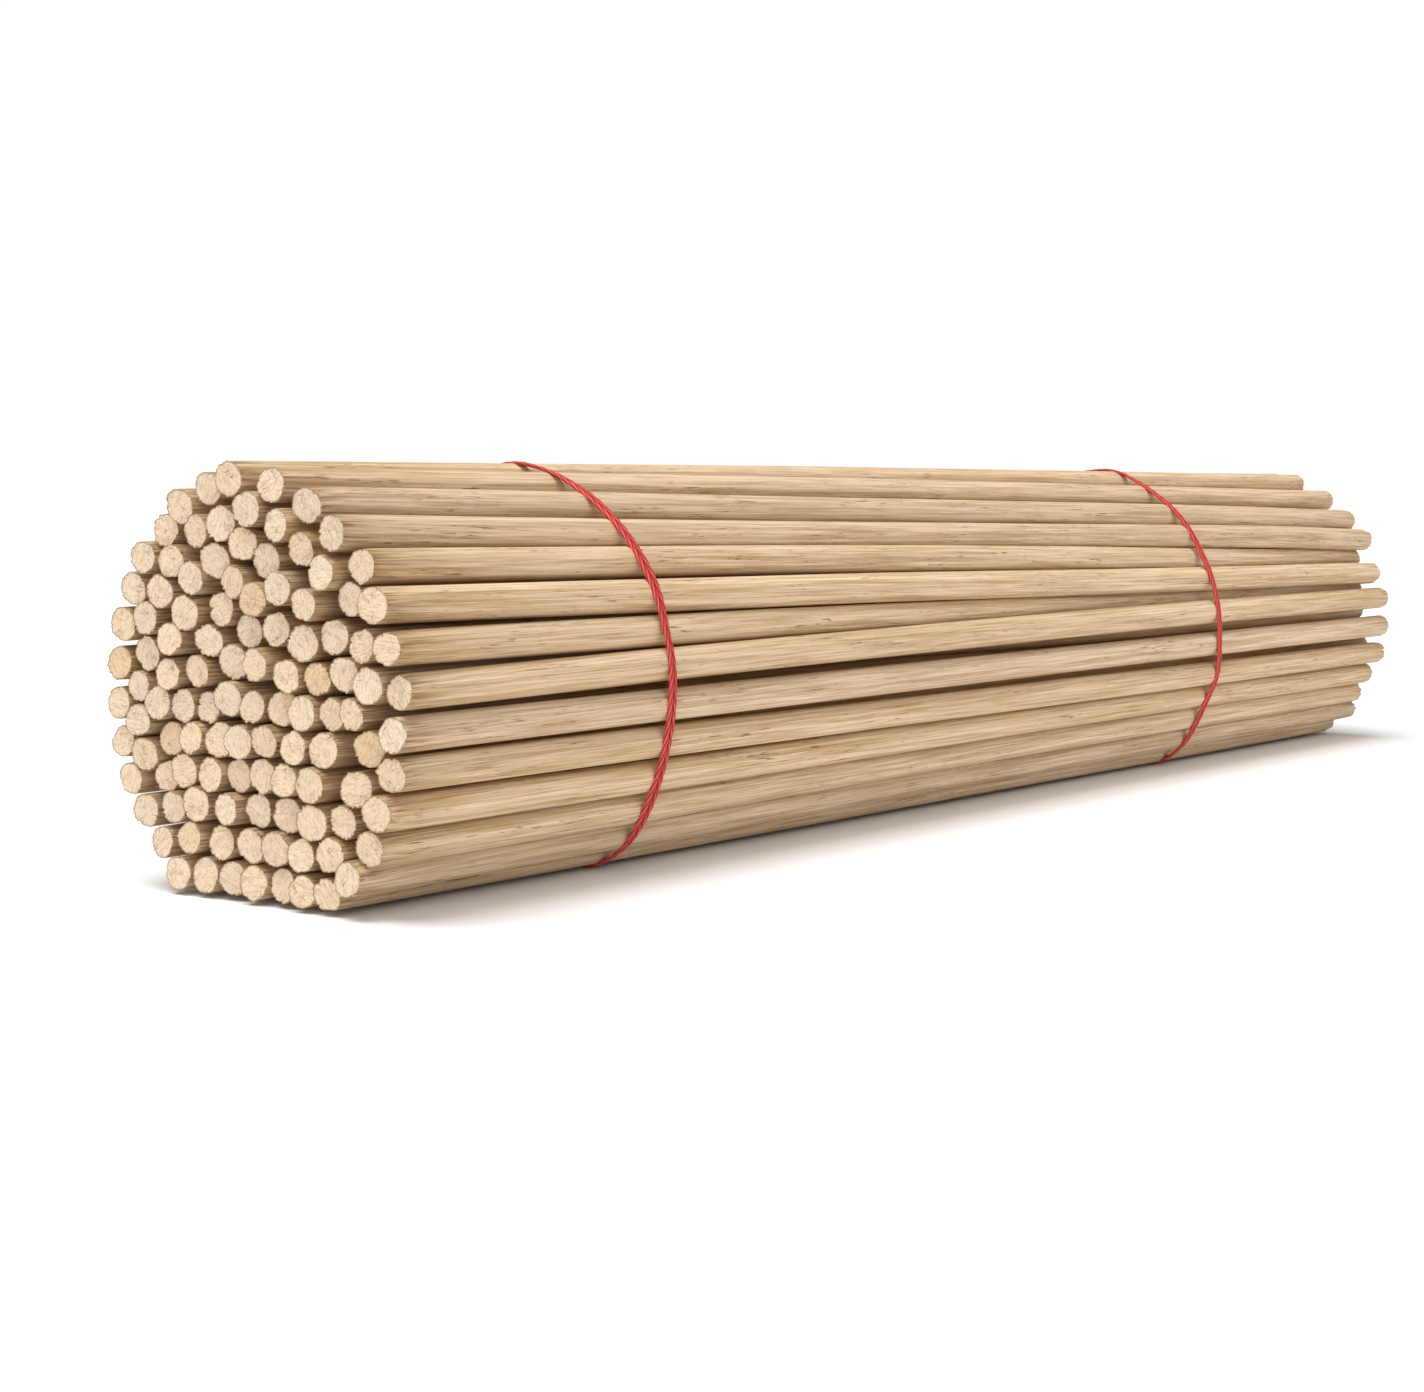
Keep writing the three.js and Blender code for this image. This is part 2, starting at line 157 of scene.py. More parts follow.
def corners_of(name):
    """The corners of a node with doubled ones merged, and its triangles as numbers of corners."""
    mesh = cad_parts[name].data
    points = np.empty(len(mesh.vertices) * 3, np.float32)
    mesh.vertices.foreach_get("co", points)
    order = np.empty(len(mesh.loops), np.int32)
    mesh.loops.foreach_get("vertex_index", order)
    points = np.round(points.reshape(-1, 3).astype(float), ROUND_TO)
    merged, back = np.unique(points, axis=0, return_inverse=True)
    return merged, back.reshape(-1)[order].reshape(-1, 3)


def slope_of(ring):
    """Least squares: how far X changes for each metre that a ring's corners go in Y and Z."""
    centre = ring.mean(axis=0)
    spokes = ring[:, 1:] - centre[1:]
    return np.linalg.lstsq(spokes, ring[:, 0] - centre[0], rcond=None)[0]


def stick_from(knots, near_ring, far_ring, name):
    """A stick's middle line, its radius and the slopes of its two ends."""
    spokes = near_ring[:, 1:] - near_ring[:, 1:].mean(axis=0)
    return {
        "name": name,
        "knots": knots,
        "radius": np.linalg.norm(spokes, axis=1).mean(),
        "near": slope_of(near_ring) + NEAR_LEAN,
        "far": slope_of(far_ring),
    }


own_sticks = []
for name in sorted(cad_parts):
    if "_stick_" in name:
        points = corners_of(name)[0]
        points = points[np.argsort(points[:, 0])]
        leaps = np.flatnonzero(np.diff(points[:, 0]) > RING_GAP) + 1
        rings = np.split(points, leaps)
        knots = np.array([ring.mean(axis=0) for ring in rings])
        own_sticks.append(stick_from(knots, rings[0], rings[-1], name))
print("sticks with a node of their own:", len(own_sticks))

# %% [markdown]
# The sticks inside the bundle share one node, of which only the two ends of each stick are
# real. An end is found as a small island of faces beyond a plane just behind the cut ends.
# Each near end is then joined to the far end that lies in the same place, and two pairs are
# swapped wherever that makes their sticks straighter.

# %% Sticks inside the bundle
TIP_PLANE = 141 * MM
LEAST_GAIN = 1e-12


def tips_of(points, triangles, side):
    """Islands of cap faces: each corner takes the lowest number in its faces until none changes."""
    beyond = side * points[:, 0] > TIP_PLANE
    caps = triangles[beyond[triangles].all(axis=1)]
    island = np.arange(len(points))
    while True:
        spread = island.copy()
        lowest = island[caps].min(axis=1)
        for column in caps.T:
            np.minimum.at(spread, column, lowest)
        if (spread == island).all():
            break
        island = spread
    return [points[island == number] for number in np.unique(island[caps])]


points, triangles = corners_of("inner_sticks")
near_tips = tips_of(points, triangles, -1)
far_tips = tips_of(points, triangles, 1)
near_middles = np.array([tip.mean(axis=0) for tip in near_tips])
far_middles = np.array([tip.mean(axis=0) for tip in far_tips])
flat_near = near_middles[:, 1:] - near_middles[:, 1:].mean(axis=0)
flat_far = far_middles[:, 1:] - far_middles[:, 1:].mean(axis=0)
flat_near *= flat_far.std(axis=0) / flat_near.std(axis=0)
gap = ((flat_near[:, None] - flat_far[None]) ** 2).sum(axis=2)
partner = np.arange(len(near_tips))
swapped = True
while swapped:
    swapped = False
    for a in range(len(partner)):
        now = gap[a, partner[a]] + gap[np.arange(len(partner)), partner]
        then = gap[a, partner] + gap[np.arange(len(partner)), partner[a]]
        b = int(np.argmax(now - then))
        if now[b] - then[b] > LEAST_GAIN:
            partner[[a, b]] = partner[[b, a]]
            swapped = True
inner_sticks = []
for a, tip in enumerate(near_tips):
    far_tip = far_tips[partner[a]]
    knots = np.array([near_middles[a], far_middles[partner[a]]])
    inner_sticks.append(stick_from(knots, tip, far_tip, f"inner_stick_{a + 1:02d}"))
widest_step = math.sqrt(gap[np.arange(len(partner)), partner].max()) / MM
print("sticks inside:", len(inner_sticks), "far ends:", len(far_tips))
print("widest sideways step from a near end to its far end in mm:", round(widest_step, 2))

# %% [markdown]
# ## The surface of one stick
# A stick is one closed surface: rings of points that start at the middle of the near end, grow
# to its rim, run along the side and shrink again on the far end. Four things make it wood
# instead of a rod. The section is a little out of round and changes slowly along the stick.
# The rim of each cut has flats chipped off it and is broken by notches. The cut itself is
# uneven, at times with a split or two. Some short fibres stand out past the rim.

# %% Rings along a stick
POINTS_ROUND = 72
END_SHARES = np.array([0.0, 0.12, 0.24, 0.36, 0.48, 0.6, 0.7, 0.8, 0.88, 0.94, 0.98])
END_STEPS = np.array([0.0, 0.06, 0.16, 0.3, 0.5, 0.8, 1.2, 1.8, 2.7, 4.0, 6.0]) * MM
SMOOTH_OVER = 9 * MM
SMOOTH_SAMPLES = 7
CARRIED_ON = 0.1
angle = np.arange(POINTS_ROUND) * 2 * math.pi / POINTS_ROUND


def middle_line(stick, x):
    """The Y and Z of a stick's middle at each X: straight lines through its knots, carried on
    past its ends, and averaged over a short window so that each bend is a soft curve."""
    knots = stick["knots"]
    first = (knots[1] - knots[0]) / (knots[1, 0] - knots[0, 0])
    last = (knots[-1] - knots[-2]) / (knots[-1, 0] - knots[-2, 0])
    longer = np.vstack([knots[0] - first * CARRIED_ON, knots, knots[-1] + last * CARRIED_ON])
    window = np.linspace(-SMOOTH_OVER, SMOOTH_OVER, SMOOTH_SAMPLES)
    wide = x[:, None] + window
    along = [np.interp(wide, longer[:, 0], longer[:, n]).mean(axis=1) for n in (1, 2)]
    return np.stack(along, axis=1)


# %% [markdown]
# Deep in the gaps between sticks the picture shows a warm dark brown, where light has bounced
# from wood to wood many times. An ambient occlusion node could find such places, but it asks
# the renderer for more rays at every point. The sticks' middle lines already say how deep a
# place lies, so each point keeps that depth as a number, and the wood's colour reads it.

# %% How deep a place lies in the bundle
STATIONS = np.linspace(-150, 150, 61) * MM


def bundle_outline():
    """The bundle's middle at each station, and for each of the outer sticks the direction and the
    distance of its own middle from there."""
    outer = [stick for stick in own_sticks if stick["name"].startswith("outer")]
    middles = np.stack([middle_line(stick, STATIONS) for stick in outer], axis=1)
    centre = middles.mean(axis=1)
    spokes = middles - centre[:, None]
    return centre, np.arctan2(spokes[..., 1], spokes[..., 0]), np.linalg.norm(spokes, axis=2)


outline_centre, outline_turn, outline_reach = bundle_outline()
print("bundle's middle line to its outer sticks' middles, mean distance in mm:",
      round(outline_reach.mean() / MM, 1))


def depth_inside(points):
    """How deep each point of a ring lies under the line through the outer sticks' middles, in
    metres: the line's distance from the bundle's middle in that direction less the point's own."""
    station = int(np.abs(STATIONS - points[:, 0].mean()).argmin())
    spokes = points[:, 1:] - outline_centre[station]
    turn = np.arctan2(spokes[:, 1], spokes[:, 0])
    line = np.interp(turn, outline_turn[station], outline_reach[station], period=2 * math.pi)
    return line - np.linalg.norm(spokes, axis=1)


# %% Waves on the side and damage at the rim
SLOW_WAVES = {"count": 5, "around": (2, 6), "lengths": (0.12, 0.6), "size": 0.04 * MM}
FINE_WAVES = {"count": 14, "around": (7, 24), "lengths": (0.05, 0.25), "size": 0.03 * MM}
HIGHEST_WAVE = 0.1 * MM
FLATS = {"count": (5, 10), "depth": (0.0, 0.24)}
LARGE_NOTCHES = {"count": (0, 4), "width": (0.07, 0.16), "depth": (0.05, 0.26)}
SMALL_NOTCHES = {"count": (14, 26), "width": (0.03, 0.06), "depth": (0.05, 0.32)}
SPLINTERS = {"count": (3, 10), "width": (0.025, 0.05), "depth": (0.1, 0.6)}
FAINTEST_WAVE = 0.3
LEAST_COSINE = 0.1
DEPTH_POWER = 1.3


def waves(rng, x, count, around, lengths, size):
    """A sum of waves on the side: each wave goes a whole number of times round the stick and
    turns slowly along it. The result has one row for each X and one column for each angle."""
    round_count = rng.integers(*around, count)
    start = rng.uniform(0, 2 * math.pi, count)
    twist = rng.choice([-1, 1], count) * 2 * math.pi / rng.uniform(*lengths, count)
    phase = start[:, None, None] + twist[:, None, None] * x[None, :, None]
    turned = round_count[:, None, None] * angle[None, None, :]
    strength = rng.uniform(FAINTEST_WAVE, 1, count) * size / np.sqrt(count)
    return (strength[:, None, None] * np.cos(turned + phase)).sum(axis=0)


def chipped_outline(rng, radius, count, depth):
    """Radius of the cut's outline where flats are chipped off it: the nearest of a few straight
    lines, each (radius - depth) / cos(angle from its middle) away, and at most the radius."""
    count = rng.integers(*count)
    place = rng.uniform(0, 2 * math.pi, count)
    near = radius - rng.uniform(*depth, count) * MM
    ahead = np.maximum(np.cos(angle[None] - place[:, None]), LEAST_COSINE)
    return np.minimum((near[:, None] / ahead).min(axis=0), radius)


def notches(rng, count, width, depth):
    """Bells at random places round the rim: exp(-(distance / width)^2) times a random depth,
    which is raised to a power so that deep ones are fewer. Distance and width are angles."""
    count = rng.integers(*count)
    place = rng.uniform(0, 2 * math.pi, count)
    wide = rng.uniform(*width, count)
    deep = rng.uniform(*depth, count) ** DEPTH_POWER
    away = np.angle(np.exp(1j * (angle[None] - place[:, None])))
    return (deep[:, None] * np.exp(-((away / wide[:, None]) ** 2))).sum(axis=0)


# %% A rough cut
ROUGH_WAVES = 30
ROUGH_LENGTHS = (0.35, 1.8)
ROUGHNESS = 0.18 * MM
MOST_SPLITS = 2
SPLIT_DEPTH = 0.12 * MM
SPLIT_WIDTH = 0.11 * MM
SPLIT_WANDER = 0.12 * MM
SPLIT_WANDER_LENGTH = 0.5 * MM
SPLIT_PLACE = (-0.5, 0.5)
SPLIT_HALF_LENGTH = (0.4, 1.1)
SPLIT_SHARE = (0.3, 1)


def rough_cut(rng, across, up, radius):
    """Height of the cut: the mean of plane waves in all directions, less a wandering valley
    along each split, depth * exp(-(distance / width)^2). Positive is out of the wood."""
    turn = rng.uniform(0, 2 * math.pi, ROUGH_WAVES)
    length = rng.uniform(*ROUGH_LENGTHS, ROUGH_WAVES) * MM
    phase = rng.uniform(0, 2 * math.pi, ROUGH_WAVES)
    along = across[..., None] * np.cos(turn) + up[..., None] * np.sin(turn)
    height = np.sin(along * 2 * math.pi / length + phase).mean(axis=-1) * ROUGHNESS
    for _ in range(rng.integers(0, MOST_SPLITS + 1)):
        turn = rng.uniform(0, math.pi)
        offset = rng.uniform(*SPLIT_PLACE) * radius
        side = across * np.cos(turn) + up * np.sin(turn) - offset
        ahead = up * np.cos(turn) - across * np.sin(turn)
        side = side + SPLIT_WANDER * np.sin(ahead / SPLIT_WANDER_LENGTH + rng.uniform(0, 6))
        middle = rng.uniform(*SPLIT_PLACE) * radius
        half = rng.uniform(*SPLIT_HALF_LENGTH) * radius
        reach = np.exp(-((ahead - middle) / half) ** 4)
        depth = SPLIT_DEPTH * rng.uniform(*SPLIT_SHARE)
        height = height - depth * np.exp(-((side / SPLIT_WIDTH) ** 2)) * reach
    return height


# %% One whole stick
SIDE_STEP = 12 * MM
INNER_SIDE_STEP = 40 * MM
BREAK_FADE = 0.4 * MM
FLAT_FADE = 5 * MM
SLOPE_FADE = 3 * MM
SPLINTER_FADE = 0.25 * MM
SPLINTER_SHARE = 0.3
NOTCH_BACK = 0.5
CUT_INSET = 0.05 * MM
ROUGH_POWER = 12
TORN_POWER = 7


def stick_surface(stick, rng, side_step):
    """A grid of rings. Side rings are circles about the middle line with the waves added and the
    flats and notches taken off near the cut. End rings are the rim drawn in by shares, set on
    the sloping cut with the roughness added. Returns the grid, the two poles and the middles."""
    radius = stick["radius"]
    near_x, far_x = stick["knots"][0, 0], stick["knots"][-1, 0]
    start, stop = near_x + END_STEPS[-1] + side_step, far_x - END_STEPS[-1] - side_step
    between = np.linspace(start, stop, max(2, int((stop - start) / side_step)))
    x = np.concatenate([near_x + END_STEPS, between, (far_x - END_STEPS)[::-1]])
    relief = waves(rng, x, **SLOW_WAVES)
    relief += waves(rng, x, **FINE_WAVES)
    relief -= relief.max() - HIGHEST_WAVE
    spokes = np.stack([np.cos(angle), np.sin(angle)], axis=1)
    sides = np.empty((len(x), POINTS_ROUND, 3))
    size = radius + relief
    back = np.zeros((len(x), POINTS_ROUND))
    for end, place, inward in (("near", near_x, 1), ("far", far_x, -1)):
        away = np.abs(x - place)[:, None]
        broken = (notches(rng, **LARGE_NOTCHES) + notches(rng, **SMALL_NOTCHES)) * MM
        flats = radius - chipped_outline(rng, radius, **FLATS)
        splinter = SPLINTER_SHARE * notches(rng, **SPLINTERS) * MM
        splinter = splinter * np.exp(-away / SPLINTER_FADE)
        size = size - broken * np.exp(-away / BREAK_FADE) - flats * np.exp(-away / FLAT_FADE)
        size = size + splinter
        slope = spokes @ stick[end] * radius
        back = back + (slope + inward * NOTCH_BACK * broken) * np.exp(-away / SLOPE_FADE)
        back = back - inward * splinter
    centre = middle_line(stick, x)
    sides[..., 0] = x[:, None] + back
    sides[..., 1] = centre[:, :1] + size * spokes[:, 0]
    sides[..., 2] = centre[:, 1:] + size * spokes[:, 1]
    rings, poles = {}, {}
    for end, row, inward in (("near", 0, 1), ("far", -1, -1)):
        rim = sides[row]
        middle = np.array([x[row], centre[row, 0], centre[row, 1]])
        spoke = rim[:, 1:] - middle[1:]
        shares = END_SHARES[1:, None, None]
        flat = spoke[None] * shares
        height = rough_cut(rng, flat[..., 0], flat[..., 1], radius)
        height *= 1 - END_SHARES[1:, None] ** ROUGH_POWER
        cut = np.empty((len(END_SHARES) - 1, POINTS_ROUND, 3))
        torn = (rim[:, 0] - middle[0] - spoke @ stick[end])[None]
        torn = torn * END_SHARES[1:, None] ** TORN_POWER
        cut[..., 0] = middle[0] + flat @ stick[end] + torn + inward * (CUT_INSET - height)
        cut[..., 1:] = middle[1:] + flat
        poles[end] = middle + [cut[0, :, 0].mean() - middle[0], 0, 0]
        rings[end] = cut
    grid = np.concatenate([rings["near"], sides, rings["far"][::-1]])
    return grid, poles["near"], poles["far"], centre


print("rings on one cut:", len(END_SHARES) - 1, "points round a ring:", POINTS_ROUND)


# %% [markdown]
# ## From grids to meshes
# Blender takes a mesh as flat arrays: the places of all points, the corner numbers of all
# faces, and where each face starts in that list. That is many times quicker than adding
# points one by one. Every point also keeps where it is within its own stick, which the wood
# material reads, so the grain follows each stick and no two sticks have the same grain.

# %% Arrays to a piece
SHARP_EDGE = math.radians(50)


def new_piece(name, points, quads, triangles, cut_quads, values, materials, replaced):
    """One object from arrays, held within the frame's box. cut_quads is true for faces of the
    second material, and the triangles, which close the ends, are of the last material."""
    points = np.clip(points, *cad_box)
    mesh = bpy.data.meshes.new(name)
    mesh.vertices.add(len(points))
    mesh.vertices.foreach_set("co", points.astype(np.float32).ravel())
    order = np.concatenate([quads.ravel(), triangles.ravel()]).astype(np.int32)
    starts = np.concatenate([np.arange(len(quads)) * 4, quads.size + np.arange(len(triangles)) * 3])
    mesh.loops.add(len(order))
    mesh.loops.foreach_set("vertex_index", order)
    mesh.polygons.add(len(starts))
    mesh.polygons.foreach_set("loop_start", starts.astype(np.int32))
    for material in materials:
        mesh.materials.append(material)
    which = np.concatenate([cut_quads, np.full(len(triangles), len(materials) - 1)])
    mesh.polygons.foreach_set("material_index", which.astype(np.int32))
    mesh.update(calc_edges=True)
    for key, value in values.items():
        kind = "FLOAT_VECTOR" if value.ndim == 2 else "FLOAT"
        field = "vector" if value.ndim == 2 else "value"
        kept = mesh.attributes.new(key, kind, "POINT")
        kept.data.foreach_set(field, value.astype(np.float32).ravel())
    mesh.shade_smooth()
    mesh.set_sharp_from_angle(angle=SHARP_EDGE)
    piece = bpy.data.objects.new(name, mesh)
    bpy.context.scene.collection.objects.link(piece)
    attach(piece, "root")
    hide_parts(*replaced)
    return piece


def grid_faces(rows, columns, first=0):
    """Four corners a face between neighbouring rings, which close on themselves."""
    row, column = np.meshgrid(np.arange(rows - 1), np.arange(columns), indexing="ij")
    after = (column + 1) % columns
    quads = np.stack([row * columns + column, row * columns + after,
                      (row + 1) * columns + after, (row + 1) * columns + column], axis=-1)
    return first + quads.reshape(-1, 4)


# %% Arrays of one stick
# Painted shade deep in the bundle: it begins a little outside the line through the outer sticks'
# middles, grows to full over DEPTH_REACH, and is mostly lost near the cut ends.
DEPTH_START = 0.9 * MM
DEPTH_REACH = 2.6 * MM
DEPTH_FADE = 14 * MM
DEPTH_LOST = 0.85
TORN_FADE = 5 * MM
FAR_TORN = 0.3
GRAIN_APART = np.array([4.0, 0.2, 0.2])


def stick_arrays(stick, rng, side_step, first=0):
    """Points, faces and what the materials read, of one stick. Points are numbered from first.
    Each point keeps its place in the stick (grain), the stick's three random values (tone), how
    near a cut is (near_cut), how deep in the bundle it lies (inside) and its share of the way
    from the middle of a cut to the rim (rim)."""
    grid, near_pole, far_pole, centre = stick_surface(stick, rng, side_step)
    rows = len(grid)
    points = np.concatenate([grid.reshape(-1, 3), near_pole[None], far_pole[None]])
    quads = grid_faces(rows, POINTS_ROUND, first)
    ring = np.arange(POINTS_ROUND)
    after = (ring + 1) % POINTS_ROUND
    last = (rows - 1) * POINTS_ROUND
    poles = rows * POINTS_ROUND + np.array([0, 1])
    near_fan = np.stack([np.full(POINTS_ROUND, poles[0]), after, ring], axis=1)
    far_fan = np.stack([np.full(POINTS_ROUND, poles[1]), last + ring, last + after], axis=1)
    triangles = first + np.concatenate([near_fan, far_fan])
    cut_rows = len(END_SHARES) - 1
    row = np.repeat(np.arange(rows - 1), POINTS_ROUND)
    cut = (row < cut_rows) | (row >= rows - 1 - cut_rows)
    middles = np.empty((rows, 2))
    middles[:cut_rows], middles[rows - cut_rows:] = centre[0], centre[-1]
    middles[cut_rows:rows - cut_rows] = centre
    middles = np.concatenate([np.repeat(middles, POINTS_ROUND, axis=0), centre[[0, -1]]])
    grain = np.column_stack([points[:, 0], points[:, 1:] - middles])
    grain += rng.uniform(-1, 1, 3) * GRAIN_APART
    tone = np.tile(rng.uniform(0, 1, 3), (len(points), 1))
    from_near = np.clip(points[:, 0] - stick["knots"][0, 0], 0, None)
    from_far = np.clip(stick["knots"][-1, 0] - points[:, 0], 0, None)
    ends = np.minimum(from_near, from_far)
    near_cut = np.exp(-from_near / TORN_FADE) + FAR_TORN * np.exp(-from_far / TORN_FADE)
    side_rows = np.ones(rows - 2 * cut_rows)
    rim = np.repeat(np.concatenate([END_SHARES[1:], side_rows, END_SHARES[:0:-1]]), POINTS_ROUND)
    deep = np.concatenate([depth_inside(ring_points) for ring_points in grid] + [np.zeros(2)])
    # inside: how much painted shade darkens the side here, from 0 to 1.
    inside = np.clip((deep + DEPTH_START) / DEPTH_REACH, 0, 1)
    inside *= 1 - DEPTH_LOST * np.exp(-ends / DEPTH_FADE)
    values = {"grain": grain, "tone": tone, "near_cut": near_cut, "inside": inside,
              "rim": np.concatenate([rim, [0, 0]])}
    return points, quads, triangles, cut, values


# %% [markdown]
# ## Wood
# Peeled wood is pale and nearly even, with fine darker streaks along the stick, some of them
# short and sharp where a pore is cut open, and a slow change of tone from stick to stick. One
# node group makes streaks from the stick's own grain places: noise that is drawn out along the
# stick. The sides and the bands each place that group with their own values. Sides deep inside
# the bundle get painted shade, darker and browner, so the gaps between sticks look dark and warm.

# %% Helpers for node trees
def join(tree, pairs):
    """Links each pair of an output and an input."""
    for out, into in pairs:
        tree.links.new(out, into)


def maths(tree, operation, a, b, clamp=False):
    """A maths node on two values, each a number or a socket, and its output."""
    made = tree.nodes.new("ShaderNodeMath")
    made.operation = operation
    made.use_clamp = clamp
    for socket, value in zip(made.inputs, (a, b)):
        if isinstance(value, (int, float)):
            socket.default_value = value
        else:
            tree.links.new(value, socket)
    return made.outputs[0]


def spread_range(tree, value, low, high, to_low=0.0, to_high=1.0):
    """Stretches a value from one range to another, held within it, and gives the output."""
    made = tree.nodes.new("ShaderNodeMapRange")
    made.inputs["From Min"].default_value = low
    made.inputs["From Max"].default_value = high
    made.inputs["To Min"].default_value = to_low
    made.inputs["To Max"].default_value = to_high
    tree.links.new(value, made.inputs["Value"])
    return made.outputs["Result"]


def mixed(tree, amount, a, b, blend="MIX"):
    """Mixes two colours, each a socket or a tuple, by an amount's socket, and gives the output."""
    made = tree.nodes.new("ShaderNodeMix")
    made.data_type = "RGBA"
    made.blend_type = blend
    for socket, value in ((made.inputs[0], amount), (made.inputs[6], a), (made.inputs[7], b)):
        if isinstance(value, tuple):
            socket.default_value = (*value, 1.0)
        else:
            tree.links.new(value, socket)
    return made.outputs[2]


def stretched_noise(tree, vector, stretch, detail, roughness, distortion=0.0):
    """Noise on a vector that is first scaled in X, Y and Z, as features for each metre."""
    scale = tree.nodes.new("ShaderNodeVectorMath")
    scale.operation = "MULTIPLY"
    scale.inputs[1].default_value = stretch
    noise = tree.nodes.new("ShaderNodeTexNoise")
    noise.inputs["Scale"].default_value = 1.0
    noise.inputs["Detail"].default_value = detail
    noise.inputs["Roughness"].default_value = roughness
    noise.inputs["Distortion"].default_value = distortion
    join(tree, [(vector, scale.inputs[0]), (scale.outputs[0], noise.inputs["Vector"])])
    return noise.outputs["Fac"]


# %% The streak group
NOISE = {
    "bands": {"stretch": (14, 620, 620), "detail": 2.0, "roughness": 0.5, "distortion": 0.4},
    "broad": {"stretch": (34, 1900, 1900), "detail": 3.0, "roughness": 0.6, "distortion": 0.3},
    "fine": {"stretch": (80, 5200, 5200), "detail": 3.0, "roughness": 0.65, "distortion": 0.25},
    "dash": {"stretch": (280, 5600, 5600), "detail": 1.0, "roughness": 0.5},
    "where": {"stretch": (60, 420, 420), "detail": 2.0, "roughness": 0.5},
    "split": {"stretch": (110, 4200, 4200), "detail": 2.0, "roughness": 0.55},
    "specks": {"stretch": (900, 5200, 5200), "detail": 3.0, "roughness": 0.65},
    "blotch": {"stretch": (300, 620, 620), "detail": 2.0, "roughness": 0.5},
    "hatch": {"stretch": (60, 4600, 900), "detail": 2.0, "roughness": 0.5, "distortion": 0.3},
    "scratch": {"stretch": (60, 420, 2600), "detail": 1.0, "roughness": 0.5, "distortion": 0.6},
}
SPREAD = {
    "bands": (0.34, 0.66), "streaks": (0.41, 0.59), "dash": (0.64, 0.71), "where": (0.48, 0.62),
    "split": (0.5, 0.64), "specks": (0.46, 0.68), "hatch": (0.5, 0.62), "blotch": (0.52, 0.62),
}
DASH_HEIGHT = 0.8


def streak_group():
    """Inputs: places in metres, and how many times finer than on the sticks the streaks are.
    Outputs: soft broad bands, fine streaks and sharp dashes, each from 0 to 1, and a height
    for the bump."""
    group = bpy.data.node_groups.new("streaks", "ShaderNodeTree")
    group.interface.new_socket("Places", in_out="INPUT", socket_type="NodeSocketVector")
    group.interface.new_socket("Finer", in_out="INPUT", socket_type="NodeSocketFloat")
    for name in ("Bands", "Streaks", "Dashes", "Height"):
        group.interface.new_socket(name, in_out="OUTPUT", socket_type="NodeSocketFloat")
    into = group.nodes.new("NodeGroupInput")
    out = group.nodes.new("NodeGroupOutput")
    scale = group.nodes.new("ShaderNodeVectorMath")
    scale.operation = "SCALE"
    join(group, [(into.outputs["Places"], scale.inputs[0]),
                 (into.outputs["Finer"], scale.inputs["Scale"])])
    places = scale.outputs[0]
    bands, broad, fine, dash, where = [
        stretched_noise(group, places, **NOISE[name])
        for name in ("bands", "broad", "fine", "dash", "where")]
    streaks = maths(group, "MULTIPLY", maths(group, "ADD", broad, fine), 0.5)
    sharp = spread_range(group, dash, *SPREAD["dash"])
    dashes = maths(group, "MULTIPLY", sharp, spread_range(group, where, *SPREAD["where"]))
    height = maths(group, "SUBTRACT", streaks, maths(group, "MULTIPLY", dashes, DASH_HEIGHT))
    join(group, [
        (spread_range(group, bands, *SPREAD["bands"]), out.inputs["Bands"]),
        (spread_range(group, streaks, *SPREAD["streaks"]), out.inputs["Streaks"]),
        (dashes, out.inputs["Dashes"]),
        (height, out.inputs["Height"]),
    ])
    return group


TONE_VALUE = (0.95, 1.04)
TONE_SATURATION = (0.94, 1.06)
TONE_HUE = (0.498, 0.502)


def tone_group():
    """Inputs: a colour and a stick's three random values. Output: the colour made lighter or
    darker, and warmer or greyer, by a little, so that each stick has a tone of its own."""
    group = bpy.data.node_groups.new("stick tone", "ShaderNodeTree")
    group.interface.new_socket("Color", in_out="INPUT", socket_type="NodeSocketColor")
    group.interface.new_socket("Tone", in_out="INPUT", socket_type="NodeSocketVector")
    group.interface.new_socket("Color", in_out="OUTPUT", socket_type="NodeSocketColor")
    into = group.nodes.new("NodeGroupInput")
    out = group.nodes.new("NodeGroupOutput")
    parts = group.nodes.new("ShaderNodeSeparateXYZ")
    shift = group.nodes.new("ShaderNodeHueSaturation")
    join(group, [
        (into.outputs["Tone"], parts.inputs[0]),
        (into.outputs["Color"], shift.inputs["Color"]),
        (spread_range(group, parts.outputs[0], 0, 1, *TONE_VALUE), shift.inputs["Value"]),
        (spread_range(group, parts.outputs[1], 0, 1, *TONE_SATURATION),
         shift.inputs["Saturation"]),
        (spread_range(group, parts.outputs[2], 0, 1, *TONE_HUE), shift.inputs["Hue"]),
        (shift.outputs[0], out.inputs["Color"]),
    ])
    return group


streaks_shared = streak_group()
tone_shared = tone_group()


def placed(tree, group, **values):
    """A group placed in a material, with its plain inputs set."""
    made = tree.nodes.new("ShaderNodeGroup")
    made.node_tree = group
    for key, value in values.items():
        made.inputs[key].default_value = value
    return made


def attribute(tree, name, output):
    """What the mesh keeps at each point under a name."""
    made = tree.nodes.new("ShaderNodeAttribute")
    made.attribute_name = name
    return made.outputs[output]


def new_material(name, roughness, specular):
    """A material with its shader's plain values set, its node tree and its shader."""
    material = bpy.data.materials.new(name)
    material.use_nodes = True
    shader = material.node_tree.nodes["Principled BSDF"]
    shader.inputs["Roughness"].default_value = roughness
    shader.inputs["Specular IOR Level"].default_value = specular
    return material, material.node_tree, shader


def bumped(tree, shader, height, distance, strength=1.0):
    """A Bump node between a height and the shader's normal."""
    bump = tree.nodes.new("ShaderNodeBump")
    bump.inputs["Distance"].default_value = distance
    bump.inputs["Strength"].default_value = strength
    join(tree, [(height, bump.inputs["Height"]), (bump.outputs[0], shader.inputs["Normal"])])


